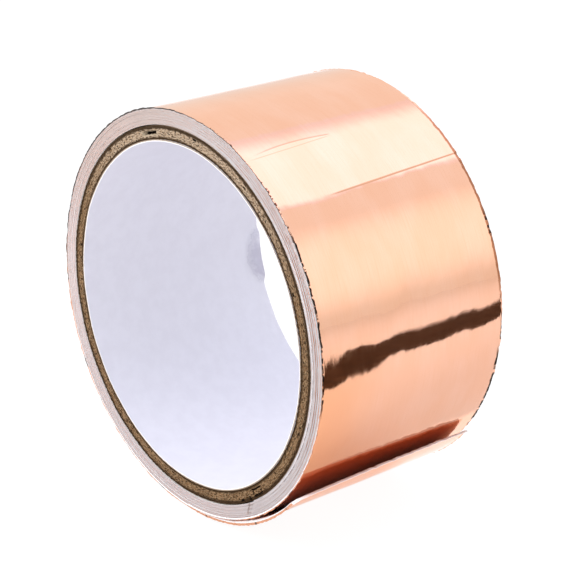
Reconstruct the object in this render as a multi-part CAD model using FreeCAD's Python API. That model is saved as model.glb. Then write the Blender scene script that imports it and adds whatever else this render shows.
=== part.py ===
"""Copper foil tape wound on a spiral paper core, standing on its rim with a loose tail.

The roll's axis is Y and its origin is the centre of the core's bore. The core is a white liner ply
and kraft plies, each a strip of paper wound as a helix with a butt seam. The tape is one laminate
of copper foil, adhesive and release paper, wound outwards with the foil outside. Its last stretch
has come loose under the roll and is cut into four hinged lengths, so that it can be laid out flat.
"""

import FreeCAD, Part
import math
import os

V = FreeCAD.Vector

# Core, in millimetres
BORE_R = 38.1
WIDTH = 50.0
INNER_LINER_T = 0.40
KRAFT_T = 0.57
KRAFT_PLIES = 5
GLUE_GAP = 0.03
SEAM_PITCH = 123.0
INNER_SEAM_GAP = 0.12
KRAFT_SEAM_GAP = 0.40
INNER_SEAM_START = 160.0
KRAFT_SEAM_START = 25.0
KRAFT_SEAM_STEP = 67.0

# Tape laminate, from the core outwards
RELEASE_T = 0.095
ADHESIVE_T = 0.035
FOIL_T = 0.050
AIR_GAP = 0.010
LAPS = 18
TAPE_START = -57.0
TAPE_ROOT = -90.0

# Strip of double-sided tape that holds the first lap on the core
START_TAB_T = 0.08
START_TAB_CLEAR = 0.01
START_TAB_WIDTH = 46.0
START_TAB_ARC = 22.0

# Loose tail
TAIL_R = 49.6
TAIL_LENGTHS = "abcd"
TAIL_ARC = 12.85
TAIL_SPLIT_GAP = 0.02

HALF = WIDTH / 2
CORE_R = BORE_R + INNER_LINER_T + KRAFT_PLIES * (KRAFT_T + GLUE_GAP)
WOUND_R = CORE_R + START_TAB_T + 2 * START_TAB_CLEAR
LAMINATE_T = RELEASE_T + ADHESIVE_T + FOIL_T
LAP_PITCH = LAMINATE_T + AIR_GAP
ROOT_R = WOUND_R + LAPS * LAP_PITCH
LAYERS = {
    "release_paper": (0.0, RELEASE_T),
    "adhesive": (RELEASE_T, RELEASE_T + ADHESIVE_T),
    "foil": (RELEASE_T + ADHESIVE_T, LAMINATE_T),
}


def polar(radius, degrees, centre_z=0.0):
    """A point on the roll's near face, with 0 degrees at +X and 90 at +Z."""
    angle = math.radians(degrees)
    return V(radius * math.cos(angle), -HALF, centre_z + radius * math.sin(angle))


def arc(radius, start, end, centre_z=0.0):
    middle = (start + end) / 2
    ends = [polar(radius, a, centre_z) for a in (start, middle, end)]
    return Part.Arc(*ends).toShape()


def band(inner_arcs, outer_arcs, width=WIDTH):
    """The solid between two chains of arcs that run side by side, across the tape's width."""
    first = Part.LineSegment(inner_arcs[0].firstVertex().Point, outer_arcs[0].firstVertex().Point)
    last = Part.LineSegment(inner_arcs[-1].lastVertex().Point, outer_arcs[-1].lastVertex().Point)
    edges = inner_arcs + [last.toShape()] + outer_arcs[::-1] + [first.toShape()]
    outline = Part.Wire(Part.__sortEdges__(edges))
    solid = Part.Face(outline).extrude(V(0, width, 0))
    solid.translate(V(0, (WIDTH - width) / 2, 0))
    return solid


def tube(inner_r, outer_r):
    start, axis = V(0, -HALF, 0), V(0, 1, 0)
    outer = Part.makeCylinder(outer_r, WIDTH, start, axis)
    return outer.cut(Part.makeCylinder(inner_r, WIDTH, start, axis))


def seam_knife(inner_r, outer_r, gap, start_angle):
    """A thin helical blade along the butt seam of one ply, a little longer and deeper than it."""
    over = 1.0
    deep = 0.1
    radius = (inner_r + outer_r) / 2
    helix = Part.makeHelix(SEAM_PITCH, WIDTH + 2 * over, radius)
    low, high = inner_r - deep, outer_r + deep
    corners = [V(low, 0, -gap / 2), V(high, 0, -gap / 2), V(high, 0, gap / 2), V(low, 0, gap / 2)]
    profile = Part.makePolygon(corners + corners[:1])
    blade = Part.Wire(helix).makePipeShell([profile], True, True)
    blade.translate(V(0, 0, -HALF - over))
    blade.rotate(V(0, 0, 0), V(0, 0, 1), start_angle)
    blade.rotate(V(0, 0, 0), V(1, 0, 0), -90)
    return blade


def core_ply(inner_r, thickness, gap, start_angle):
    outer_r = inner_r + thickness
    return tube(inner_r, outer_r).cut(seam_knife(inner_r, outer_r, gap, start_angle))


def spiral_arcs(offset):
    """Half turns whose centres step a quarter of a lap up and down, so that each meets the next
    in one line and every full turn grows by one lap."""
    arcs = []
    for half_turn in range(2 * LAPS):
        rising = half_turn % 2 == 0
        centre_z = LAP_PITCH / 4 if rising else -LAP_PITCH / 4
        radius = WOUND_R + offset + LAP_PITCH * (half_turn / 2 + 0.25)
        start = TAPE_ROOT if rising else TAPE_ROOT + 180
        end = start + 180
        if half_turn == 0:
            start = TAPE_START
        arcs.append(arc(radius, start, end, centre_z))
    return arcs


def wound_layer(layer):
    inner, outer = LAYERS[layer]
    return band(spiral_arcs(inner), spiral_arcs(outer))


def tail_layer(layer, number):
    """One hinged length of one layer. The tail leaves the roll level, on a slacker curve."""
    inner, outer = LAYERS[layer]
    centre_z = TAIL_R - ROOT_R
    split = math.degrees(TAIL_SPLIT_GAP / TAIL_R)
    start = TAPE_ROOT + number * TAIL_ARC + split
    end = TAPE_ROOT + (number + 1) * TAIL_ARC
    inner_arc = arc(TAIL_R + inner, start, end, centre_z)
    outer_arc = arc(TAIL_R + outer, start, end, centre_z)
    return band([inner_arc], [outer_arc])


def start_tab():
    inner_r = CORE_R + START_TAB_CLEAR
    end = TAPE_START + START_TAB_ARC
    inner_arc = arc(inner_r, TAPE_START, end)
    outer_arc = arc(inner_r + START_TAB_T, TAPE_START, end)
    return band([inner_arc], [outer_arc], START_TAB_WIDTH)


def core():
    plies = {
        "core_white_liner": core_ply(BORE_R, INNER_LINER_T, INNER_SEAM_GAP, INNER_SEAM_START)
    }
    for number in range(KRAFT_PLIES):
        inner_r = BORE_R + INNER_LINER_T + GLUE_GAP + number * (KRAFT_T + GLUE_GAP)
        seam = KRAFT_SEAM_START + number * KRAFT_SEAM_STEP
        plies[f"core_kraft_ply_{number + 1}"] = core_ply(inner_r, KRAFT_T, KRAFT_SEAM_GAP, seam)
    return plies


def tape():
    pieces = {"start_tab": start_tab()}
    for layer in LAYERS:
        pieces[f"wound_{layer}"] = wound_layer(layer)
        for number, letter in enumerate(TAIL_LENGTHS):
            pieces[f"tail_{letter}_{layer}"] = tail_layer(layer, number)
    return pieces


def hinge_lines():
    """Where the tail folds: on the copper face, at the start of each length, then the line on the
    paper face where the last length of release paper peels."""
    centre_z = TAIL_R - ROOT_R
    lines = {}
    for number, letter in enumerate(TAIL_LENGTHS):
        lines[letter] = polar(TAIL_R + LAMINATE_T, TAPE_ROOT + number * TAIL_ARC, centre_z)
    last = TAPE_ROOT + (len(TAIL_LENGTHS) - 1) * TAIL_ARC
    lines["release"] = polar(TAIL_R, last, centre_z)
    return lines


os.makedirs("parts", exist_ok=True)
for name, shape in {**core(), **tape()}.items():
    shape.exportStep(f"parts/{name}.step")
    print(name, shape.isValid(), len(shape.Solids), len(shape.Faces), round(shape.Volume, 2))
print("core outside radius", round(CORE_R, 3), "tape root radius", round(ROOT_R, 3))
for name, point in hinge_lines().items():
    print("hinge", name, round(point.x, 3), round(point.z, 3))
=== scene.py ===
"""Looks of the copper foil tape roll: wound laps, spiral paper core and loose tail.

Lengths in the shape code are millimetres; meshes are stored in metres. The roll's axis is Y, and
angles run from +X (0 degrees) to +Z (90 degrees). Tape angles count on from the start of the
outermost lap, so 270 is the root of the tail, straight under the axis.
"""
import math

import bpy
import numpy as np
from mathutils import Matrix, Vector


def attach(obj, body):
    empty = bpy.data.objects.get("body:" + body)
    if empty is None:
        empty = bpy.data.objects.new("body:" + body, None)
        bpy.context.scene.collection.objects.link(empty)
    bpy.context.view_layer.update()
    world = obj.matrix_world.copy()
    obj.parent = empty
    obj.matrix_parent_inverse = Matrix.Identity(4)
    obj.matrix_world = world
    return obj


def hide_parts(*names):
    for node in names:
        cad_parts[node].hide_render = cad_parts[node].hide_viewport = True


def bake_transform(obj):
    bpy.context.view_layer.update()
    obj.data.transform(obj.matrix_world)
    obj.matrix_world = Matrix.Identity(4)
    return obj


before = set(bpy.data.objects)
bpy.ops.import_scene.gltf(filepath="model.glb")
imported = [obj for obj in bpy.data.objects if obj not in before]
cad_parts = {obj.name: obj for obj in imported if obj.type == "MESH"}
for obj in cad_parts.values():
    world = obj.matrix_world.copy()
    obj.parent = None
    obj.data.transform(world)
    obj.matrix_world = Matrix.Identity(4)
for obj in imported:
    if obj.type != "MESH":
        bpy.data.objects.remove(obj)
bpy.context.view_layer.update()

MM = 0.001
HALF = 25.0

# Core, whose plies run on a helix
BORE_R = 38.1
LINER_T = 0.40
KRAFT_T = 0.57
GLUE_GAP = 0.03
KRAFT_PLIES = 5
SEAM_PITCH = 123.0
SEAM_GAP = 0.40
CORE_MIDDLE = 40.0
# Marks on the near sawn end: angle, radius, half length, half height, and size of the pit or 0
END_MARKS = (
    (130.7, 40.5, 0.45, 0.25, 0.0),
    (-134.9, 39.6, 0.4, 0.2, 0.4),
    (-116.7, 41.0, 0.5, 0.2, 0.35),
    (-57.6, 40.9, 0.30, 0.5, 0.0),
    (-61.5, 40.9, 0.45, 0.3, 0.0),
    (-20.0, 40.3, 0.4, 0.25, 0.4),
    (24.0, 39.3, 0.4, 0.3, 0.0),
    (59.0, 39.9, 0.5, 0.2, 0.45),
    (84.0, 40.6, 0.6, 0.2, 0.0),
    (172.0, 39.4, 0.3, 0.35, 0.35),
)
# Angles of the torn ply and the lifted flap at that end
TORN_PLY = 106.5
FLAP = -52.8
# Dent in the liner's far edge: angle and position along the axis
DENT_TURN, DENT_Y = -168.0, 25.5

# Tape, with each layer's inner and outer face above the lap's inner radius
CORE_R = 41.5
WOUND_R = 41.60
LAPS = 18
LAP_PITCH = 0.19
ROOT_R = WOUND_R + LAPS * LAP_PITCH
PAPER = (0.0, 0.095)
GLUE = (0.095, 0.130)
COPPER = (0.130, 0.180)
TAPE_START = -57.0
ROOT = 270.0
TAIL_R = 49.6
TAIL_ARC = 12.85
HINGE_STEP = math.radians(TAIL_ARC) * TAIL_R
TAIL_END = 4 * HINGE_STEP
TAIL_SKEW = 2.1
# Wrinkles in the outermost foil, each from one (angle, position across) to another
LONG_CREASE = ((46.6, -12.5), (49.2, 25.2))
SHORT_CREASE = ((62.4, -24.8), (64.4, -2.5))

# Studio
FLOOR_Z = -46.0
SOFTBOX_LOW, SOFTBOX_HIGH = (-300, -300), (276, 1300)
SOFTBOX_Z = 600


# ---------------------------------------------------------------- numbers

def ripple(x, length, seed, terms=6):
    """Smooth random waves of the given typical length, with an RMS height of 1."""
    rng = np.random.default_rng(seed)
    total = 0.0
    for size in length * np.exp(rng.uniform(-0.6, 0.6, terms)):
        total = total + np.sin(2 * math.pi * x / size + rng.uniform(0, 2 * math.pi))
    return total / math.sqrt(terms / 2)


def ripple2(x, y, x_length, y_length, seed, terms=10):
    """The same over a surface, with a typical length each way."""
    rng = np.random.default_rng(seed)
    total = 0.0
    for _ in range(terms):
        across, along = np.exp(rng.uniform(-0.6, 0.6, 2))
        turn = rng.choice((-1, 1))
        phase = x / (x_length * across) + turn * y / (y_length * along)
        total = total + np.sin(2 * math.pi * phase + rng.uniform(0, 2 * math.pi))
    return total / math.sqrt(terms / 2)


def bell(x, width):
    return np.exp(-((x / width) ** 2))


def ramp(x, low, high):
    t = np.clip((x - low) / (high - low), 0, 1)
    return t * t * (3 - 2 * t)


def angle_gap(a, b):
    """Signed difference of two angles in degrees, from -180 to 180."""
    return (a - b + 180) % 360 - 180


def even(start, stop, step):
    return np.linspace(start, stop, max(2, round(abs(stop - start) / step) + 1))


def across_points(edge_step, middle_step, half=HALF, fine=1.6):
    """Positions across the tape, closer together at its two edges."""
    side = even(half - fine, half, edge_step)
    middle = even(-(half - fine), half - fine, middle_step)
    return np.concatenate([-side[::-1][:-1], middle, side[1:]])


def tape_length(turn):
    """Length along the tape in millimetres, 0 at the tail's root and negative on the roll."""
    return (turn - ROOT) * math.pi / 180 * ROOT_R


# ---------------------------------------------------------------- meshes

def block(name, point, u, v, w, pattern, materials, close_u=False):
    """A closed mesh of the six faces of the box u, v, w, bent to shape by point(u, v, w).

    materials are those of the broad faces and of the cut edges. pattern(u, v, w) gives the
    lengths along, across and through the piece that its textures run in.
    """
    nu, nv, nw = len(u), len(v), len(w)
    grid = np.meshgrid(u, v, w, indexing="ij")
    ids = np.arange(nu * nv * nw).reshape(nu, nv, nw)
    if close_u:
        ids = np.concatenate([ids, ids[:1]], axis=0)
    along, across, through = (np.asarray(part, float) for part in pattern(*grid))
    coordinates = np.stack([along, across, through], axis=-1)
    if close_u:
        seam = coordinates[:1].copy()
        seam[..., 0] += coordinates[-1:, ..., 0] + coordinates[1:2, ..., 0] - 2 * seam[..., 0]
        coordinates = np.concatenate([coordinates, seam], axis=0)

    def quads(table, flip):
        corners = [table[:-1, :-1], table[1:, :-1], table[1:, 1:], table[:-1, 1:]]
        stacked = np.stack(corners, axis=2).reshape(-1, 4, *table.shape[2:])
        return stacked[:, ::-1] if flip else stacked

    sides = [
        (lambda t: t[:, :, -1], False, (0, 1), 0),
        (lambda t: t[:, :, 0], True, (0, 1), 0),
        (lambda t: t[:, 0, :], False, (0, 2), 1),
        (lambda t: t[:, -1, :], True, (0, 2), 1),
    ]
    if not close_u:
        sides += [
            (lambda t: t[0, :, :], True, (1, 2), 1),
            (lambda t: t[-1, :, :], False, (1, 2), 1),
        ]
    faces, maps, group, slots = [], [], [], []
    for number, (pick, flip, axes, slot) in enumerate(sides):
        quad = quads(pick(ids), flip)
        faces.append(quad)
        maps.append(quads(pick(coordinates), flip)[..., list(axes)])
        group.append(np.full(len(quad), number))
        slots.append(np.full(len(quad), slot))
    faces, maps = np.concatenate(faces), np.concatenate(maps)
    group, slots = np.concatenate(group), np.concatenate(slots)
    positions = np.stack([np.asarray(p, float).ravel() for p in point(*grid)], axis=1) * MM
    used, compact = np.unique(faces, return_inverse=True)
    faces = compact.reshape(-1, 4)
    mesh = bpy.data.meshes.new(name)
    mesh.vertices.add(len(used))
    mesh.vertices.foreach_set("co", positions[used].astype(np.float32).ravel())
    mesh.loops.add(faces.size)
    mesh.loops.foreach_set("vertex_index", faces.astype(np.int32).ravel())
    mesh.polygons.add(len(faces))
    mesh.polygons.foreach_set("loop_start", np.arange(0, faces.size, 4, dtype=np.int32))
    mesh.polygons.foreach_set("material_index", slots.astype(np.int32))
    mesh.update(calc_edges=True)
    mesh.validate()
    layer = mesh.uv_layers.new(name="lengths")
    layer.data.foreach_set("uv", maps.astype(np.float32).ravel())
    mark_sharp(mesh, group)
    for material in materials:
        mesh.materials.append(material)
    piece = bpy.data.objects.new(name, mesh)
    bpy.context.scene.collection.objects.link(piece)
    return piece


def mark_sharp(mesh, group):
    """Smooth shading within each side of the box and a crisp edge between sides."""
    edge = np.empty(len(mesh.loops), np.int32)
    mesh.loops.foreach_get("edge_index", edge)
    side = np.repeat(group, 4)
    low = np.full(len(mesh.edges), 99)
    high = np.full(len(mesh.edges), -1)
    np.minimum.at(low, edge, side)
    np.maximum.at(high, edge, side)
    sharp = mesh.attributes.new("sharp_edge", "BOOLEAN", "EDGE")
    sharp.data.foreach_set("value", low != high)


def polar(radius, degrees, y):
    angle = np.radians(degrees)
    return radius * np.cos(angle), y, radius * np.sin(angle)


# ---------------------------------------------------------------- materials

class Finish:
    """A material whose nodes are added one call at a time."""

    def __init__(self, name):
        self.material = bpy.data.materials.new(name)
        self.material.use_nodes = True
        self.tree = self.material.node_tree
        self.shader = self.tree.nodes["Principled BSDF"]

    def add(self, kind, settings=None, **inputs):
        made = self.tree.nodes.new("ShaderNode" + kind)
        for key, value in (settings or {}).items():
            setattr(made, key, value)
        for key, value in inputs.items():
            self.put(made.inputs[key.replace("_", " ")], value)
        return made

    def put(self, socket, value):
        if isinstance(value, bpy.types.NodeSocket):
            self.tree.links.new(value, socket)
        else:
            socket.default_value = value

    def set(self, **inputs):
        for key, value in inputs.items():
            self.put(self.shader.inputs[key.replace("_", " ")], value)

    def lengths(self, along, across):
        """Texture coordinates in millimetres, divided by the two given sizes."""
        source = self.add("UVMap", {"uv_map": "lengths"}).outputs["UV"]
        scale = (1 / along, 1 / across, 1)
        return self.add("Mapping", Vector=source, Scale=scale).outputs["Vector"]

    def place(self):
        """Lengths along and across the piece, or along and through it on a cut edge."""
        source = self.add("UVMap", {"uv_map": "lengths"}).outputs["UV"]
        parts = self.add("SeparateXYZ", Vector=source)
        return parts.outputs["X"], parts.outputs["Y"]

    def window(self, value, low, high, soft):
        """1 between low and high and 0 outside them."""
        rise = self.spread(value, low - soft, low + soft)
        return self.times(rise, self.spread(value, high - soft, high + soft, 1.0, 0.0))

    def solid(self, size):
        """Texture coordinates in the piece's own space, divided by a size in millimetres."""
        source = self.add("TexCoord").outputs["Object"]
        scale = (1 / (size * MM),) * 3
        return self.add("Mapping", Vector=source, Scale=scale).outputs["Vector"]

    def noise(self, vector, detail=3.0, roughness=0.55):
        made = self.add("TexNoise", Vector=vector, Scale=1.0, Detail=detail, Roughness=roughness)
        return made.outputs["Fac"]

    def spread(self, value, low, high, to_low=0.0, to_high=1.0):
        made = self.add("MapRange", {"interpolation_type": "SMOOTHSTEP"}, Value=value)
        for key, number in zip(("From Min", "From Max", "To Min", "To Max"),
                               (low, high, to_low, to_high)):
            made.inputs[key].default_value = number
        return made.outputs["Result"]

    def math(self, operation, *values):
        made = self.add("Math", {"operation": operation})
        for socket, value in zip(made.inputs, values):
            self.put(socket, value)
        return made.outputs[0]

    def plus(self, first, second):
        return self.math("ADD", first, second)

    def minus(self, first, second):
        return self.math("SUBTRACT", first, second)

    def times(self, first, second):
        return self.math("MULTIPLY", first, second)

    def larger(self, first, second):
        return self.math("MAXIMUM", first, second)

    def modulo(self, first, second):
        return self.math("FLOORED_MODULO", first, second)

    def square(self, value):
        return self.math("POWER", value, 2.0)

    def sine(self, value):
        return self.math("SINE", value)

    def cosine(self, value):
        return self.math("COSINE", value)

    def mix(self, factor, first, second):
        made = self.add("Mix", {"data_type": "RGBA"})
        self.put(made.inputs["Factor"], factor)
        self.put(made.inputs[6], (*first, 1) if isinstance(first, tuple) else first)
        self.put(made.inputs[7], (*second, 1) if isinstance(second, tuple) else second)
        return made.outputs[2]

    def bump(self, height, depth, normal=None):
        """Bump whose height runs from 0 to depth, in millimetres."""
        made = self.add("Bump", Height=height, Strength=1.0, Distance=depth * MM)
        if normal is not None:
            self.put(made.inputs["Normal"], normal)
        return made.outputs["Normal"]


COPPER_TINT = (0.915, 0.512, 0.340)
COPPER_PALE = (0.93, 0.545, 0.38)
COPPER_DEEP = (0.86, 0.43, 0.255)
COPPER_WARM = (0.86, 0.41, 0.215)
COPPER_CREASE_SHADE = (0.66, 0.30, 0.17)
COPPER_SHADED = (0.79, 0.215, 0.07)


def stretch(f, along, first, last, soft):
    """1 between two angles on the outermost lap, which runs from -90 to 270."""
    return f.window(along, tape_length(first), tape_length(last), soft)


def crease_shade_line(f, along, across, crease):
    """The thin dark line on the lower side of a crease, painted shade."""
    (start, near), (end, far) = crease
    slope = (tape_length(end) - tape_length(start)) / (far - near)
    line = f.plus(f.plus(along, -tape_length(start)), f.times(f.plus(across, -near), -slope))
    return f.times(f.window(line, -0.42, -0.14, 0.07), f.window(across, near + 2, far, 2.0))


def rim_painted_shade(f, tint, along, across):
    """Painted shade along the two slit edges: dark dashes, flecks and a darker stretch, for the shadows in
    the gaps of the frayed edges.
    """
    dashes = f.spread(f.noise(f.lengths(1.5, 40.0), 3.0, 0.65), 0.40, 0.46)
    flecks = f.spread(f.noise(f.lengths(0.8, 30.0), 3.0, 0.65), 0.54, 0.58)
    rim_jitter = f.times(f.noise(f.lengths(1.7, 0.6), 4.0, 0.65), 0.9)
    near_rim, far_rim = f.minus(across, rim_jitter), f.plus(across, rim_jitter)
    near = f.times(f.spread(near_rim, -25.05, -24.97, 1.0, 0.0), stretch(f, along, -9, 40, 2.5))
    tint = f.mix(f.times(near, dashes), tint, (0.022, 0.014, 0.010))
    upper = f.times(f.spread(near_rim, -25.1, -25.02, 1.0, 0.0), stretch(f, along, 36, 82, 4.0))
    tint = f.mix(f.times(upper, flecks), tint, (0.16, 0.055, 0.03))
    # A darker stretch along the far rim, painted shade.
    far_stretch_shade = f.times(f.spread(far_rim, 24.80, 24.92), stretch(f, along, 8, 66, 6.0))
    tint = f.mix(far_stretch_shade, tint, (0.42, 0.17, 0.085))
    low = f.plus(stretch(f, along, -36, -8, 2.0), stretch(f, along, 24, 31, 2.0))
    low = f.times(f.times(low, f.spread(far_rim, 24.90, 24.98)), dashes)
    return f.mix(low, tint, (0.030, 0.018, 0.012))


def copper_face():
    """Rolled copper with fine lengthwise marks, painted shade in its creases and along its rims, a painted
    warmer reflection tone low on the near side, and deep red painted shade and reflection in the gap above
    the tail.
    """
    f = Finish("copper_foil_face")
    along, across = f.place()
    streaks = f.noise(f.lengths(9.0, 0.28), 4.0, 0.6)
    clouds = f.noise(f.lengths(14.0, 8.0), 2.0)
    tint = f.mix(f.spread(clouds, 0.35, 0.7), COPPER_TINT, COPPER_PALE)
    tint = f.mix(f.spread(streaks, 0.42, 0.75, 0.0, 0.30), tint, COPPER_DEEP)
    # Warmer, more orange tone low on the near half of the outermost lap: a painted reflection tone.
    low_near = f.times(f.spread(across, -25.0, -3.0, 0.85, 0.0), stretch(f, along, -60, 5, 8.0))
    tint = f.mix(low_near, tint, COPPER_WARM)
    # Painted shade along the lower side of each crease.
    for crease, strength in ((LONG_CREASE, 0.55), (SHORT_CREASE, 0.45)):
        line = crease_shade_line(f, along, across, crease)
        tint = f.mix(f.times(line, strength), tint, COPPER_CREASE_SHADE)
    outermost = f.spread(along, tape_length(-91.5), tape_length(-90.5))
    slant = f.plus(along, f.times(across, 0.038))
    # Deep red painted shade and reflection of the gap between the roll and the tail, on the outermost lap
    # only.
    tail_gap_shade = f.times(f.spread(slant, tape_length(-30.8), tape_length(-30.35), 1.0, 0.0),
                         f.spread(across, 20.2, 21.6, 1.0, 0.0))
    tint = f.mix(f.times(tail_gap_shade, outermost), tint, COPPER_SHADED)
    normal = f.bump(f.noise(f.lengths(2.6, 0.9), 2.0, 0.5), 0.005)
    normal = f.bump(f.noise(f.lengths(0.9, 0.16), 3.0, 0.6), 0.0020, normal)
    f.set(Base_Color=rim_painted_shade(f, tint, along, across), Metallic=1.0,
          Roughness=f.spread(streaks, 0.3, 0.7, 0.035, 0.085),
          Specular_Tint=(1.0, 0.94, 0.88, 1.0), Normal=normal)
    return f.material


def copper_edge():
    """The slit edge of the outermost foil: bright low down, with painted shade over the top and in dark
    patches.
    """
    f = Finish("copper_foil_slit_edge")
    burr = f.noise(f.lengths(0.35, 0.05), 3.0)
    shade_spot = f.noise(f.lengths(4.5, 2.0), 4.0, 0.7)
    bright = f.mix(burr, (0.50, 0.20, 0.10), (0.80, 0.42, 0.26))
    along, _ = f.place()
    # Bright low down and nearly black over the top: painted light and shade.
    under = f.spread(f.cosine(f.times(along, 1 / ROOT_R)), -0.25, 0.35)
    bright = f.mix(under, (0.045, 0.034, 0.030), bright)
    f.set(Base_Color=f.mix(f.spread(shade_spot, 0.55, 0.65), bright, (0.07, 0.035, 0.02)), Metallic=0.6,
          Roughness=f.spread(burr, 0.3, 0.7, 0.3, 0.5), Normal=f.bump(burr, 0.02))
    return f.material


def packed_marks(f, colour):
    """Bands and marks that run through all the laps, some on one side of the roll only. The tones that
    change around the roll and the dashed dark line are painted light and shade.

    angle is 0 straight under the axis, so its sine is 1 at the right and its cosine 1 at the bottom.
    """
    along, depth = f.place()
    angle = f.times(along, 1 / ROOT_R)
    side = f.spread(f.sine(angle), 0.55, 0.90)
    # Pinker over the top, darker low down and greyer at the right: painted light and shade.
    top = f.spread(f.sine(f.plus(angle, math.radians(245))), 0.4, 1.0)
    colour = f.mix(f.times(top, 0.80), colour, (0.41, 0.335, 0.305))
    low = f.spread(f.cosine(angle), 0.1, 0.9)
    colour = f.mix(f.times(low, 0.17), colour, (0.03, 0.03, 0.03))
    right = f.spread(f.sine(f.plus(angle, -math.radians(25))), 0.10, 0.75)
    colour = f.mix(f.times(right, 0.75), colour, (0.40, 0.405, 0.42))
    spun = f.plus(f.modulo(angle, math.tau), f.times(depth, 0.021))
    split = f.window(spun, math.radians(31.2), math.radians(31.9), math.radians(0.25))
    colour = f.mix(f.times(split, f.spread(depth, 2.2, 2.6, 1.0, 0.0)), colour, (0.20, 0.16, 0.15))
    wobble = f.times(f.plus(f.noise(f.lengths(7.0, 40.0)), -0.5), 0.14)
    level = f.plus(depth, wobble)
    # Paler bands at two depths, on the right side only.
    pale_bands = f.plus(f.window(level, 0.08, 0.46, 0.05), f.window(level, 2.75, 3.05, 0.06))
    colour = f.mix(f.times(pale_bands, side), colour, (0.64, 0.645, 0.67))
    # A dashed dark line on the right side: painted shadow of a step between laps.
    dashes = f.spread(f.noise(f.lengths(1.7, 60.0), 3.0, 0.6), 0.44, 0.52)
    shade_spot = f.times(f.times(f.window(level, 0.52, 0.72, 0.035), dashes), side)
    return f.mix(shade_spot, colour, (0.09, 0.07, 0.07))


def packed_edge():
    """Foil edges inside the wound roll, dulled by glue and paper dust."""
    f = Finish("copper_foil_packed_edge")
    dust = f.noise(f.lengths(1.6, 0.10), 4.0, 0.6)
    band = f.noise(f.lengths(70.0, 0.8), 2.0, 0.6)
    tint = f.mix(dust, (0.455, 0.415, 0.415), (0.52, 0.48, 0.48))
    tint = f.mix(f.spread(band, 0.42, 0.62, 0.0, 0.5), tint, (0.385, 0.345, 0.35))
    f.set(Base_Color=packed_marks(f, tint), Metallic=0.0, Roughness=0.6,
          Normal=f.bump(dust, 0.01))
    return f.material


def glue_face():
    f = Finish("acrylic_adhesive")
    streaks = f.noise(f.lengths(6.0, 0.6))
    f.set(Base_Color=f.mix(streaks, (0.66, 0.58, 0.52), (0.80, 0.73, 0.68)),
          Roughness=f.spread(streaks, 0.3, 0.7, 0.25, 0.45), IOR=1.47,
          Normal=f.bump(f.noise(f.lengths(0.5, 0.3)), 0.008))
    return f.material


def paper_face():
    f = Finish("release_paper_face")
    clouds = f.noise(f.lengths(1.6, 1.2), 5.0, 0.6)
    f.set(Base_Color=f.mix(clouds, (0.83, 0.82, 0.81), (0.91, 0.90, 0.89)),
          Roughness=f.spread(clouds, 0.3, 0.7, 0.38, 0.5),
          Normal=f.bump(f.noise(f.lengths(0.16, 0.16), 4.0), 0.006))
    return f.material


def paper_edge():
    f = Finish("release_paper_slit_edge")
    fibre = f.noise(f.lengths(1.8, 0.14), 4.0, 0.6)
    band = f.noise(f.lengths(90.0, 0.6), 2.0, 0.6)
    white = f.mix(f.spread(band, 0.40, 0.60), (0.50, 0.465, 0.475), (0.60, 0.565, 0.58))
    white = f.mix(f.spread(fibre, 0.40, 0.75, 0.0, 0.30), white, (0.42, 0.38, 0.385))
    f.set(Base_Color=packed_marks(f, white), Roughness=0.75, Normal=f.bump(fibre, 0.015))
    return f.material


def fresh_paper_edge():
    """The last lap's paper edge and the tail's, white low down and greyer over the top."""
    f = Finish("release_paper_fresh_edge")
    fibre = f.noise(f.lengths(0.8, 0.06), 4.0, 0.6)
    along, _ = f.place()
    low = f.spread(f.cosine(f.times(along, 1 / ROOT_R)), -0.1, 0.5)
    white = f.mix(fibre, (0.86, 0.85, 0.85), (0.97, 0.96, 0.96))
    f.set(Base_Color=f.mix(low, (0.50, 0.46, 0.45), white), Roughness=0.7,
          Normal=f.bump(fibre, 0.02))
    return f.material


def kraft_face():
    f = Finish("kraft_paper_face")
    fibre = f.noise(f.lengths(2.2, 0.25), 4.0, 0.6)
    f.set(Base_Color=f.mix(fibre, (0.24, 0.15, 0.085), (0.40, 0.27, 0.165)), Roughness=0.8,
          Normal=f.bump(fibre, 0.02))
    return f.material


def mark(f, along, depth, degrees, radius, length, height):
    """1 inside a box on the core's end, at an angle and radius, of half a length and height."""
    across = f.window(f.plus(along, -math.radians(degrees) * CORE_MIDDLE), -length, length, 0.12)
    return f.times(across, f.window(depth, radius - height, radius + height, 0.07))


def end_marks(f, along, depth):
    """The torn ply's slot, dark as painted shade, the pale fibres round it, and all the dark marks of the
    near end.
    """
    slot = mark(f, along, depth, TORN_PLY, 39.9, 2.1, 0.26)
    pale = f.minus(mark(f, along, depth, TORN_PLY, 39.9, 3.0, 0.55), slot)
    # The lifted flap's dark outline, painted shade.
    outline = f.minus(mark(f, along, depth, FLAP, 40.15, 1.75, 0.85),
                      mark(f, along, depth, FLAP, 40.15, 1.30, 0.50))
    dark = slot
    # Dark marks, painted shade where they sit in a pit.
    for degrees, radius, length, height, _ in END_MARKS:
        dark = f.larger(dark, mark(f, along, depth, degrees, radius, length, height))
    dark = f.larger(dark, outline)
    where = f.add("SeparateXYZ", Vector=f.add("TexCoord").outputs["Object"]).outputs["Y"]
    return pale, f.times(dark, f.spread(where, -0.001, 0.001, 1.0, 0.0))


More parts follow.
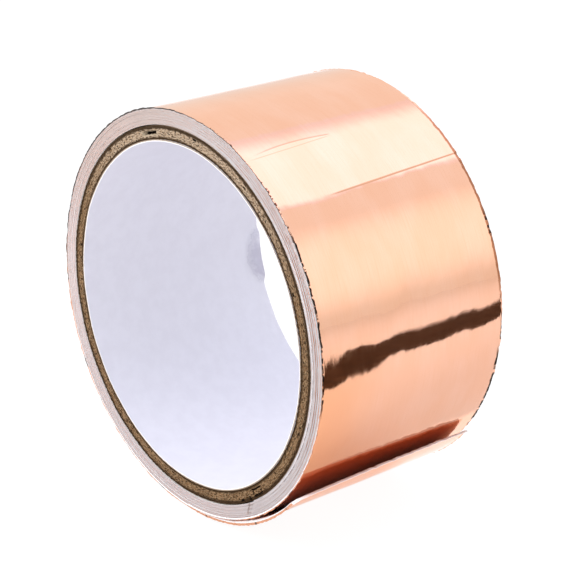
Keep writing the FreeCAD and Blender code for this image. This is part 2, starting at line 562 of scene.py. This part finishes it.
def kraft_edge():
    """The core's sawn ends: brown plies, paler over the top as painted light, dark at both rims with glue
    and painted shade.
    """
    f = Finish("kraft_board_cut_end")
    fibre = f.noise(f.lengths(1.1, 0.12), 5.0, 0.7)
    speck = f.noise(f.lengths(0.6, 0.30), 3.0, 0.6)
    patch = f.noise(f.lengths(5.0, 2.0), 3.0, 0.55)
    along, depth = f.place()
    # Paler over the top: painted light.
    upper = f.spread(f.sine(f.times(along, 1 / CORE_MIDDLE)), 0.3, 1.0)
    brown = f.mix(f.spread(patch, 0.35, 0.65), (0.115, 0.058, 0.026), (0.185, 0.100, 0.048))
    brown = f.mix(f.times(upper, 0.55), brown, (0.44, 0.32, 0.21))
    pale_fibre = f.mix(upper, (0.38, 0.265, 0.155), (0.62, 0.50, 0.38))
    brown = f.mix(f.spread(fibre, 0.46, 0.58, 0.0, 0.8), brown, pale_fibre)
    brown = f.mix(f.spread(speck, 0.52, 0.58, 0.0, 0.95), brown, (0.014, 0.009, 0.005))
    wander = f.times(f.plus(f.noise(f.lengths(1.3, 9.0), 4.0, 0.65), -0.5), 1.0)
    radius = f.plus(depth, wander)
    # Dark at both rims: glue, and painted shade of the gaps beside the liner and the tape.
    rims = f.plus(f.spread(radius, 38.85, 39.30, 0.95, 0.0), f.spread(radius, 40.55, 40.95, 0.0, 0.95))
    brown = f.mix(rims, brown, (0.036, 0.021, 0.011))
    turn = math.tau * CORE_MIDDLE
    within = f.plus(f.modulo(f.plus(along, turn / 2), turn), -turn / 2)
    pale, dark = end_marks(f, f.plus(within, f.times(f.plus(speck, -0.5), 1.2)),
                           f.plus(depth, f.times(wander, 0.3)))
    brown = f.mix(f.times(pale, 0.75), brown, (0.38, 0.31, 0.22))
    f.set(Base_Color=f.mix(dark, brown, (0.006, 0.004, 0.003)), Roughness=0.9,
          Specular_IOR_Level=0.0, Normal=f.bump(f.plus(fibre, speck), 0.06))
    return f.material


def liner_face():
    """Smooth bleached paper, with painted shade round the dent at its far edge."""
    f = Finish("white_liner_face")
    mottle = f.noise(f.solid(3.0), 5.0, 0.6)
    tooth = f.noise(f.solid(0.35), 3.0)
    white = f.mix(f.spread(mottle, 0.3, 0.7), (0.680, 0.672, 0.730), (0.710, 0.704, 0.762))
    along, across = f.place()
    turn = f.minus(f.times(along, 1 / BORE_R), math.radians(360 + DENT_TURN))
    shade_spot = f.plus(f.square(f.times(turn, 1 / 0.19)), f.square(f.times(f.plus(across, -25.8), 1 / 3.9)))
    shade_spot = f.plus(shade_spot, f.times(f.plus(mottle, -0.5), 2.2))
    # Painted shade round the dent, with a darker outline at its edge.
    white = f.mix(f.spread(shade_spot, 0.25, 1.05, 0.80, 0.0), white, (0.46, 0.445, 0.53))
    white = f.mix(f.times(f.window(shade_spot, 0.86, 1.00, 0.08), 0.28), white,
                  (0.40, 0.385, 0.47))
    f.set(Base_Color=white,
          Roughness=f.spread(mottle, 0.3, 0.7, 0.42, 0.55), Normal=f.bump(tooth, 0.006))
    return f.material


def liner_edge():
    """The liner's cut end, white next to the bore and stained by glue next to the kraft."""
    f = Finish("white_liner_cut_end")
    fibre = f.noise(f.lengths(0.7, 0.1), 4.0)
    _, depth = f.place()
    stained = f.spread(f.plus(depth, f.times(f.plus(fibre, -0.5), 0.2)), 0.10, 0.24)
    white = f.mix(fibre, (0.76, 0.75, 0.76), (0.88, 0.87, 0.87))
    f.set(Base_Color=f.mix(stained, white, (0.30, 0.22, 0.15)), Roughness=0.7,
          Normal=f.bump(fibre, 0.02))
    return f.material


def tab_face():
    f = Finish("tissue_tape")
    weave = f.noise(f.lengths(0.6, 0.4), 4.0)
    f.set(Base_Color=f.mix(weave, (0.66, 0.62, 0.55), (0.80, 0.77, 0.70)), Roughness=0.5,
          Normal=f.bump(weave, 0.01))
    return f.material


def floor_finish():
    f = Finish("pale_floor")
    grain = f.noise(f.solid(60.0), 3.0)
    f.set(Base_Color=f.mix(grain, (0.10, 0.10, 0.10), (0.12, 0.12, 0.12)), Roughness=0.9,
          Specular_IOR_Level=0.0, Emission_Color=(1.0, 1.0, 1.0, 1.0), Emission_Strength=0.93)
    return f.material


def bounce_finish():
    """The same floor as the roll sees it, with the roll's own shadow on it and a patch under the tail that
    glows brighter as painted light.
    """
    f = Finish("floor_bounce")
    grain = f.noise(f.solid(60.0), 3.0)
    where = f.add("SeparateXYZ", Vector=f.add("TexCoord").outputs["Object"]).outputs
    # A patch under the tail glows brighter: painted light.
    under = f.times(f.window(where["X"], -0.010, 0.0375, 0.003), f.window(where["Y"], -0.014, 0.090, 0.006))
    f.set(Base_Color=f.mix(grain, (0.79, 0.765, 0.735), (0.81, 0.785, 0.755)), Roughness=0.9,
          Specular_IOR_Level=0.0, Emission_Color=(1.0, 1.0, 1.0, 1.0),
          Emission_Strength=f.spread(under, 0.0, 1.0, 0.06, 0.40))
    return f.material


# ---------------------------------------------------------------- core

def end_wear(y, near, far):
    """Moves the two cut ends in or out by the given amounts and leaves the middle alone."""
    return y - ramp(-y, HALF - 1.5, HALF) * near + ramp(y, HALF - 1.5, HALF) * far


def core_liner():
    """The white tube inside the core, with a step at its seam and a dent at its far edge."""
    def point(u, v, w):
        seam = angle_gap(u, -163.0 - (v + HALF) * 360 / SEAM_PITCH)
        step = 0.02 * np.tanh(seam * BORE_R * math.pi / 180 / 0.25) * bell(seam, 6.0)
        turn = angle_gap(u, DENT_TURN)
        reach = np.sqrt((turn / 11.0) ** 2 + ((v - DENT_Y) / 4.2) ** 2)
        dent = 1.1 * ramp(-reach, -1.0, -0.7) * ramp(v, 17.0, 21.0)
        pucker = 0.03 * ripple2(u, v, 14.0, 5.0, 31) * ramp(v, 19.0, 25.0)
        wave = 0.012 * ripple2(u, v, 60.0, 30.0, 30)
        radius = BORE_R + w + step - dent + pucker + wave
        near = 0.07 + 0.03 * ripple(u, 25.0, 32) + 0.012 * ripple(u, 3.0, 33)
        far = 0.06 + 0.05 * ripple(u, 25.0, 34) + 0.02 * ripple(u, 3.0, 35)
        return polar(radius, u, end_wear(v, near, far))

    def pattern(u, v, w):
        return u * math.pi / 180 * BORE_R, v, w

    piece = block("core_liner_white", point, np.arange(0, 360, 0.9), across_points(0.35, 1.2, fine=7.0),
                  np.array([0.0, LINER_T / 2, LINER_T]), pattern, (LINER_FACE, LINER_EDGE), True)
    finish_piece(piece, "roll", "white_liner", "core_white_liner")


def core_chips(u, radius):
    """How far the near sawn end is broken away, in millimetres: torn plies and a lifted flap."""
    deep = 1.3 * ramp(-np.abs(angle_gap(u, TORN_PLY)), -3.6, -2.9) * bell(radius - 40.0, 0.30)
    deep = deep + 0.9 * bell(angle_gap(u, 130.7) * 0.7, 0.55) * bell(radius - 40.5, 0.30)
    flap_u = np.abs(angle_gap(u, FLAP)) * 0.7
    flap_r = np.abs(radius - 40.3)
    outline = bell(np.maximum(flap_u / 1.55, flap_r / 0.75) - 1.0, 0.16)
    deep = deep + 0.55 * outline
    deep = deep + 0.5 * bell(angle_gap(u, -57.5) * 0.7, 0.35) * ramp(radius, 40.2, 41.2)
    for turn, r, _, _, size in END_MARKS:
        if size:
            deep = deep + 0.35 * bell(angle_gap(u, turn) * 0.7, size) * bell(radius - r, 0.25)
    return deep


def core_ply(number):
    inner = BORE_R + LINER_T + GLUE_GAP + number * (KRAFT_T + GLUE_GAP)
    near_seam = -(25.0 + 67.0 * number + 360 / SEAM_PITCH)
    half_gap = math.degrees(SEAM_GAP / 2 / (inner + KRAFT_T / 2))

    def point(u, v, w):
        turn = near_seam + u - (v + HALF) * 360 / SEAM_PITCH
        radius = inner + w
        rough = 0.05 * ripple2(turn * 0.7, radius, 1.2, 0.5, 41 + number)
        rough = rough + 0.045 * ripple(turn, 20.0, 51 + number)
        near = -rough - 0.02 - core_chips(turn, radius)
        far = rough - 0.02
        return polar(radius, turn, end_wear(v, near, far))

    def pattern(u, v, w):
        turn = near_seam + u - (v + HALF) * 360 / SEAM_PITCH
        return np.radians(turn) * CORE_MIDDLE, v, inner + w

    turns = even(half_gap, 360 - half_gap, 0.6)
    piece = block(f"core_kraft_{number + 1}", point, turns, across_points(0.75, 4.0),
                  np.linspace(0, KRAFT_T, 4), pattern, (KRAFT_FACE, KRAFT_EDGE))
    finish_piece(piece, "roll", "kraft_board", f"core_kraft_ply_{number + 1}")


def start_strip():
    """The tissue tape that holds the first lap down, just inside the tape."""
    def point(u, v, w):
        return polar(CORE_R + 0.01 + w, u, v + 0.05 * ripple(u, 4.0, 61))

    def pattern(u, v, w):
        return u * math.pi / 180 * CORE_R, v, w

    piece = block("start_strip", point, even(TAPE_START, TAPE_START + 22, 0.5),
                  even(-23, 23, 2.0), np.array([0.0, 0.08]), pattern, (TAB_FACE, TAB_FACE))
    finish_piece(piece, "roll", "double_sided_tab", "start_tab")


# ---------------------------------------------------------------- tape

def weave(turn):
    """Sideways wander of the laps as they were wound, in millimetres."""
    return 0.035 * ripple(turn, 700.0, 71) + 0.03 * ripple(turn, 210.0, 72)


def slit_edge(turn, side, rough):
    """How far one edge of the tape stands out, with the nicks and burrs that slitting leaves."""
    seed = 80 if side < 0 else 90
    length = tape_length(turn)
    burrs = np.clip(ripple(length, 1.3, seed + 1) - 1.2, 0, None)
    nicks = np.clip(ripple(length, 2.3, seed + 2) - 1.5, 0, None)
    small = 0.022 * ripple(length, 0.9, seed + 3) + 0.03 * ripple(length, 5.0, seed + 4)
    lap = (turn - ROOT) / 360 + LAPS
    crease = -0.42 * bell(angle_gap(turn, -57.0 - 0.25 * lap) * 0.75, 0.30) if side < 0 else 0.0
    return rough * (small + 0.10 * burrs - 0.16 * nicks) + crease * ramp(-turn, -ROOT, -ROOT + 40)


def place_across(turn, v, rough=1.0):
    """Sideways position on the tape, with both edges wandering."""
    near = slit_edge(turn, -1, rough) * ramp(-v, HALF - 2.0, HALF)
    far = slit_edge(turn, 1, rough) * ramp(v, HALF - 2.0, HALF)
    return v - near + far + weave(turn)


def along_crease(turn, v, crease, bow=0.0):
    """Distance below or above a crease, in millimetres, and its strength along it from 0 to 1."""
    (start, near), (end, far) = crease
    share = (v - near) / (far - near)
    centre = start + (end - start) * share + bow * np.sin(np.clip(share, 0, 1) * math.pi)
    offset = angle_gap(turn, centre) * math.pi / 180 * ROOT_R
    return offset, ramp(share, 0.0, 0.35) * ramp(-share, -1.04, -1.0)


def foil_relief(turn, v):
    """How far the outermost foil stands off a true cylinder, in millimetres."""
    length = tape_length(turn)
    height = 0.018 * ripple2(length, v, 26.0, 17.0, 101)
    height = height + 0.0022 * ripple2(length, v, 7.0, 3.2, 102)
    height = height + 0.0006 * ripple2(length, v, 3.2, 0.9, 103, 16)
    offset, strength = along_crease(turn, v, LONG_CREASE)
    crumple = 0.85 + 0.16 * ripple(v, 9.0, 106)
    height = height + strength * (0.05 * bell(offset, 0.22) + 0.06 * crumple * bell(offset + 0.2, 1.9))
    offset, strength = along_crease(turn, v, SHORT_CREASE, 1.2)
    height = height + 0.045 * strength * bell(offset, 0.24)
    near = ramp(-v, HALF - 0.5, HALF)
    far = ramp(v, HALF - 0.45, HALF)
    bent = 0.05 + 0.03 * ripple(length, 2.2, 104)
    bent_far = 0.05 + 0.035 * ripple(length, 2.4, 105)
    return np.maximum(height + 0.03, 0) - near * bent - far * bent_far


def burr(turn, v):
    """Extra thickness of the outermost foil at its two slit edges, in millimetres."""
    length = tape_length(turn)
    rough = 0.85 + 0.12 * ripple(length, 2.4, 121) + 0.12 * ripple(length, 11.0, 122)
    low = bell(angle_gap(turn, -85.0), 42.0)
    back = ramp(-np.abs(angle_gap(turn, 158.0)), -75.0, -50.0)
    near = (0.15 + 0.13 * low + 0.19 * back) * ramp(-v, HALF - 0.2, HALF)
    far = 0.14 * ramp(v, HALF - 0.2, HALF)
    return np.clip(rough, 0.2, 1.6) * (near + far)


def wound_point(layer, rough=False, proud=False):
    """Places a point of the wound tape. u is the angle wound so far, from the core's first lap.

    rough is for the outermost foil, with its relief and burrs, which start where the tail is well
    clear of it. proud lets the paper's edge stand out low down at the near end.
    """
    low, high = layer

    def point(u, v, w):
        radius = WOUND_R + low + (high - low) * w + LAP_PITCH * (u + 90) / 360
        turn = u - 360 * (LAPS - 1)
        if rough:
            clear_of_tail = ramp(turn, -76.0, -56.0)
            radius = radius + clear_of_tail * (foil_relief(turn, v) + burr(turn, v) * w)
        if proud:
            low_side = bell(angle_gap(turn, -85.0), 42.0) * ramp(-v, HALF - 0.2, HALF)
            radius = radius - 0.22 * low_side * (1 - w)
            v = v - 0.07 * low_side
        return polar(radius, u, place_across(turn, v, 1.0 if rough else 0.45))
    return point


def wound_pattern(layer):
    def pattern(u, v, w):
        turn = u - 360 * (LAPS - 1)
        return tape_length(turn), v, w * (layer[1] - layer[0]) + LAP_PITCH * u / 360
    return pattern


def outer_turns(start):
    """Angles of the outermost lap from its start, close together where it is creased."""
    spans = ((0, 135.5, 0.6), (135.5, 141, 0.12), (141, 151, 0.6), (151, 157, 0.15), (157, 360, 0.6))
    steps = [even(start + first, start + last, step)[:-1] for first, last, step in spans]
    return np.concatenate(steps + [[start + 360]])


def wound_tape():
    last = 360 * (LAPS - 1) - 90
    edges = np.array([-HALF, -HALF + 0.5, -HALF + 2.0, 0.0, HALF - 2.0, HALF - 0.5, HALF])
    through = np.array([0.0, 1.0])
    for name, layer, slot, cad_node, faces, outer_faces in (
        ("paper", PAPER, "release_paper", "wound_release_paper", (PAPER_FACE, PAPER_EDGE),
         (PAPER_FACE, FRESH_EDGE)),
        ("glue", GLUE, "clear_adhesive", "wound_adhesive", (GLUE_FACE, GLUE_FACE),
         (GLUE_FACE, GLUE_FACE)),
        ("copper", COPPER, "copper_foil", "wound_foil", (COPPER_FACE, PACKED_EDGE),
         (COPPER_FACE, COPPER_EDGE)),
    ):
        inset = 0.06 if name == "glue" else 0.0
        across = edges * (1 - inset / HALF)
        inner = block(f"wound_{name}", wound_point(layer), even(TAPE_START, last, 1.2), across,
                      through, wound_pattern(layer), faces)
        finish_piece(inner, "roll", slot, cad_node)
        rough = name == "copper"
        turns = outer_turns(last) if rough else even(last, last + 360, 0.9)
        outer = block(f"outer_lap_{name}", wound_point(layer, rough, name == "paper"), turns,
                      across_points(0.16, 0.55) if rough else across, through,
                      wound_pattern(layer), outer_faces)
        finish_piece(outer, "roll", slot, cad_node)


def tail_lift(s, v):
    """How far the tail stands off the roll, s millimetres past its root."""
    near = np.clip((HALF - v) / (2 * HALF), 0, 1)
    slack = 0.12 * ramp(s, 0.0, 12.0)
    free = np.clip((s - 8.0) / (43.5 - 8.0), 0, None)
    flare = 0.24 * ramp(s, 7.0, 17.0) * ramp(-v, HALF - 1.1, HALF)
    return slack + (1.25 + 0.9 * near) * free ** 2 + flare


def tail_end(v, extra=0.0):
    """Where the tape was torn off across its width, in millimetres past the root."""
    q = v / HALF
    ragged = 0.10 * ripple(v, 4.0, 111) + 0.06 * ripple(v, 1.2, 112) + 0.08 * ripple(v, 30.0, 113)
    notch = -0.9 * bell(v + 23.9, 0.5) + 0.5 * bell(v - 15.5, 0.3)
    return TAIL_END - 1.25 - 1.15 * q ** 2 + 0.35 * q + ragged + notch + extra


def tail_point(layer, torn=False, extra=0.0, lip=0.0, rough=False):
    """Places a point of the tail. u is the length past the root, before the end was torn off.

    torn is for a piece that ends there: extra is how far its layer then stands out, and lip how
    far its last millimetre curls away from the roll. rough is for the foil.
    """
    low, high = layer
    torn_part = 6.0

    def height(s, v):
        curl = np.clip(s - tail_end(v, extra) + 1.0, 0, None)
        return tail_lift(s, v) + lip * curl ** 2

    def point(u, v, w):
        share = np.clip((u - (TAIL_END - torn_part)) / torn_part, 0, 1) if torn else 0.0
        s = u + share * (tail_end(v, extra) - TAIL_END)
        turn = ROOT + np.degrees(s / ROOT_R)
        across = place_across(turn, v) - TAIL_SKEW * (s / TAIL_END) ** 2
        lift = height(s, v)
        step = 0.01
        slope = (height(s + step, v) - lift) / step
        angle = np.radians(-90) + s / ROOT_R
        x, z = np.cos(angle), np.sin(angle)
        radius = ROOT_R + lift
        lean = np.arctan(slope)
        out_x = x * np.cos(lean) + z * np.sin(lean)
        out_z = z * np.cos(lean) - x * np.sin(lean)
        offset = low + (high - low) * w
        if rough:
            rolled = 0.26 * ramp(s, 0, 8) * ramp(-v, HALF - 0.2, HALF)
            offset = offset + foil_relief(turn, v) + (burr(turn, v) + rolled) * w
        return radius * x + offset * out_x, across, radius * z + offset * out_z
    return point


def tail_middle(s):
    """A point on the tail's centre line, in metres."""
    x, _, z = tail_point(COPPER)(np.array([s]), np.array([0.0]), np.array([0.5]))
    return float(x[0]) * MM, 0.0, float(z[0]) * MM


def tail_pieces():
    """The tail's layers, each cut into pieces between the hinges."""
    bodies = ["roll", "tail_a", "tail_b", "tail_c", "tail_d"]
    hinge = [number * HINGE_STEP for number in range(4)]
    bends = [(0.1, 4.6), (hinge[1] - 3.5, hinge[1] + 3.5), (hinge[2] - 3.5, hinge[2] + 3.5),
             (hinge[3] - 4.4, hinge[3] - 0.4)]
    cuts = [0.0, 5.0, 15.3, 25.6]
    thin = 0.02
    for name, cad_layer, layer, slot, faces, extra, lip in (
        ("paper", "release_paper", PAPER, "release_paper", (PAPER_FACE, FRESH_EDGE), 0.45, 0.72),
        ("glue", "adhesive", GLUE, "clear_adhesive", (GLUE_FACE, GLUE_FACE), 0.0, 0.10),
        ("copper", "foil", COPPER, "copper_foil", (COPPER_FACE, COPPER_EDGE), 0.05, 0.10),
    ):
        last_cut = hinge[3] - 0.3 if name == "paper" else TAIL_END
        spans = list(zip(cuts, cuts[1:] + [last_cut], bodies, bodies[1:], bends))
        if name == "paper":
            peel = (hinge[3] - 0.2, hinge[3] + 4.0)
            spans.append((last_cut, TAIL_END, "tail_d", "release_tip", peel))
        inset = 0.05 if name == "glue" else 0.0
        across = across_points(0.16, 0.6) * (1 - inset / HALF)
        for number, (start, end, first, second, bend) in enumerate(spans):
            inside = even(start, end, 0.30)[1:-1]
            along = np.concatenate([[start, start + thin], inside, [end - thin, end]])
            point = tail_point(layer, end == TAIL_END, extra, lip, name == "copper")
            piece = block(f"tail_{name}_{number + 1}", point, along, across, np.array([0.0, 1.0]),
                          lambda u, v, w: (u, v, w * 0.1), faces)
            if second == "release_tip":
                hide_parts("tail_d_release_paper")
            elif not (name == "paper" and second == "tail_d"):
                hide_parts(f"{second}_{cad_layer}")
            tail_middle(bend[0])
            tail_middle(bend[1])
            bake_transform(piece)


def finish_piece(piece, body, slot, *nodes):
    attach(piece, body)
    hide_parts(*nodes)


# ---------------------------------------------------------------- studio

def plane(name, corners, material):
    mesh = bpy.data.meshes.new(name)
    mesh.from_pydata([tuple(c * MM for c in corner) for corner in corners], [], [(0, 1, 2, 3)])
    mesh.materials.append(material)
    made = bpy.data.objects.new(name, mesh)
    bpy.context.scene.collection.objects.link(made)
    return made


def ranged(tree, value, low, high, to_low, to_high, smooth=False):
    """A value mapped from one range to another."""
    made = tree.nodes.new("ShaderNodeMapRange")
    made.interpolation_type = "SMOOTHSTEP" if smooth else "LINEAR"
    for key, number in (("From Min", low), ("From Max", high), ("To Min", to_low), ("To Max", to_high)):
        made.inputs[key].default_value = number
    tree.links.new(value, made.inputs["Value"])
    return made.outputs["Result"]


def glow(name, colour, brightness):
    """A material that only shines, as strongly as the value that brightness(tree) gives."""
    material = bpy.data.materials.new(name)
    material.use_nodes = True
    tree = material.node_tree
    tree.nodes.clear()
    light = tree.nodes.new("ShaderNodeEmission")
    light.inputs["Color"].default_value = (*colour, 1)
    tree.links.new(brightness(tree), light.inputs["Strength"])
    out = tree.nodes.new("ShaderNodeOutputMaterial")
    tree.links.new(light.outputs[0], out.inputs[0])
    return material


def softbox_brightness(tree):
    """Brightest in the middle, fading into the room's white at its two long edges."""
    place = tree.nodes.new("ShaderNodeSeparateXYZ")
    tree.links.new(tree.nodes.new("ShaderNodeTexCoord").outputs["Object"], place.inputs[0])
    product = tree.nodes.new("ShaderNodeMath")
    product.operation = "MULTIPLY"
    for number, (edge, inside) in enumerate(((-0.285, -0.125), (0.276, 0.230))):
        fade = ranged(tree, place.outputs["X"], edge, inside, 0.0, 1.0, smooth=True)
        tree.links.new(fade, product.inputs[number])
    return ranged(tree, product.outputs[0], 0.0, 1.0, 1.05, 1.66)


def card_brightness(tree):
    """Dark with paler flecks."""
    flecks = tree.nodes.new("ShaderNodeTexNoise")
    flecks.inputs["Scale"].default_value = 1.0
    flecks.inputs["Detail"].default_value = 4.0
    mapping = tree.nodes.new("ShaderNodeMapping")
    mapping.inputs["Scale"].default_value = (1 / 0.016, 1 / 0.0022, 1.0)
    tree.links.new(tree.nodes.new("ShaderNodeTexCoord").outputs["Object"], mapping.inputs["Vector"])
    tree.links.new(mapping.outputs["Vector"], flecks.inputs["Vector"])
    return ranged(tree, flecks.outputs["Fac"], 0.42, 0.68, 0.16, 0.50)


def studio():
    reach = 3000.0
    floor = [(-reach, -reach, FLOOR_Z), (reach, -reach, FLOOR_Z), (reach, reach, FLOOR_Z),
             (-reach, reach, FLOOR_Z)]
    seen = plane("floor", floor, floor_finish())
    seen.visible_diffuse = seen.visible_glossy = False
    seen.visible_transmission = seen.visible_shadow = False
    lower = [(x, y, FLOOR_Z - 0.02) for x, y, _ in floor]
    bounce = plane("floor_bounce", lower, bounce_finish())
    bounce.visible_camera = False
    (left, front), (right, back) = SOFTBOX_LOW, SOFTBOX_HIGH
    corners = [(left, front, SOFTBOX_Z), (left, back, SOFTBOX_Z), (right, back, SOFTBOX_Z),
               (right, front, SOFTBOX_Z)]
    softbox = plane("softbox", corners, glow("softbox_glow", (1.0, 1.025, 1.22), softbox_brightness))
    softbox.visible_camera = False
    dark_card()
    fill_data = bpy.data.lights.new("bore_fill", "AREA")
    fill_data.size = 0.5
    fill_data.energy = 6.6
    fill = bpy.data.objects.new("bore_fill", fill_data)
    fill.location = (-0.45, -0.75, 0.48)
    fill.rotation_euler = (-fill.location).to_track_quat("-Z", "Y").to_euler()
    bpy.context.scene.collection.objects.link(fill)
    surroundings()


def dark_card():
    """A ragged dark strip beside the roll, seen only as the dark line across the copper."""
    y = even(-200, 420, 0.5)
    settle = 0.03 + 0.97 * ramp(y, 116.0, 150.0)
    rough = settle * (4.5 * ripple(y, 7.0, 131) + 3.4 * ripple(y, 1.7, 132))
    rough_far = settle * (6.5 * ripple(y, 9.0, 133) + 5.0 * ripple(y, 1.9, 134))
    inner = 131.0 + 6.0 * ramp(y, 230.0, 330.0) - 24.0 * ramp(-y, -82.0, -28.0) + rough
    outer = 208.0 - np.clip(112.0 - y, 0.0, 66.0) + rough_far
    outer = np.maximum(outer, inner + 14.0)
    level = np.full_like(y, FLOOR_Z + 1.3)
    corners = np.concatenate([np.stack([inner, y, level], 1), np.stack([outer, y, level], 1)]) * MM
    count = len(y)
    faces = [(k, k + count, k + count + 1, k + 1) for k in range(count - 1)]
    mesh = bpy.data.meshes.new("dark_card")
    mesh.from_pydata([tuple(corner) for corner in corners], [], faces)
    mesh.materials.append(glow("card_black", (0.30, 0.19, 0.135), card_brightness))
    card = bpy.data.objects.new("dark_card", mesh)
    bpy.context.scene.collection.objects.link(card)
    card.visible_camera = False
    card.visible_diffuse = False
    card.visible_shadow = False


def surroundings():
    """A white room, a little cooler overhead and brighter towards a window at the right."""
    world = bpy.data.worlds.new("studio")
    bpy.context.scene.world = world
    world.use_nodes = True
    tree = world.node_tree
    background = tree.nodes["Background"]
    direction = tree.nodes.new("ShaderNodeTexCoord").outputs["Generated"]
    towards = tree.nodes.new("ShaderNodeVectorMath")
    towards.operation = "DOT_PRODUCT"
    towards.inputs[1].default_value = Vector((0.707, 0.60, 0.392)).normalized()
    tree.links.new(direction, towards.inputs[0])
    window = ranged(tree, towards.outputs["Value"], 0.93, 0.995, 0.0, 0.33, smooth=True)
    split = tree.nodes.new("ShaderNodeSeparateXYZ")
    tree.links.new(direction, split.inputs[0])
    height = split.outputs["Z"]
    tint = tree.nodes.new("ShaderNodeMix")
    tint.data_type = "RGBA"
    tint.inputs[6].default_value = (1.0, 1.0, 1.0, 1.0)
    tint.inputs[7].default_value = (1.0, 1.02, 1.08, 1.0)
    tree.links.new(ranged(tree, height, 0.0, 0.8, 0.0, 1.0), tint.inputs["Factor"])
    tree.links.new(tint.outputs[2], background.inputs["Color"])
    total = tree.nodes.new("ShaderNodeMath")
    tree.links.new(window, total.inputs[0])
    tree.links.new(ranged(tree, height, 0.0, 0.35, 0.95, 1.05), total.inputs[1])
    tree.links.new(total.outputs[0], background.inputs["Strength"])


def camera():
    azimuth, elevation, distance = math.radians(50.755), math.radians(21.36), 0.4373
    data = bpy.data.cameras.new("camera")
    data.sensor_width = 36.0
    data.lens = 123.69
    data.shift_x = 0.02127
    data.shift_y = 0.00375
    data.clip_start = 0.01
    made = bpy.data.objects.new("camera", data)
    made.location = (distance * math.sin(azimuth) * math.cos(elevation),
                     -distance * math.cos(azimuth) * math.cos(elevation),
                     distance * math.sin(elevation))
    made.rotation_euler = (math.pi / 2 - elevation, 0, azimuth)
    bpy.context.scene.collection.objects.link(made)
    bpy.context.scene.camera = made


COPPER_FACE, COPPER_EDGE, PACKED_EDGE = copper_face(), copper_edge(), packed_edge()
GLUE_FACE = glue_face()
PAPER_FACE, PAPER_EDGE, FRESH_EDGE = paper_face(), paper_edge(), fresh_paper_edge()
KRAFT_FACE, KRAFT_EDGE = kraft_face(), kraft_edge()
LINER_FACE, LINER_EDGE = liner_face(), liner_edge()
TAB_FACE = tab_face()

camera()
studio()
core_liner()
for ply in range(KRAFT_PLIES):
    core_ply(ply)
start_strip()
wound_tape()
tail_pieces()

bpy.context.scene.view_settings.view_transform = "Standard"
bpy.context.scene.view_settings.look = "None"
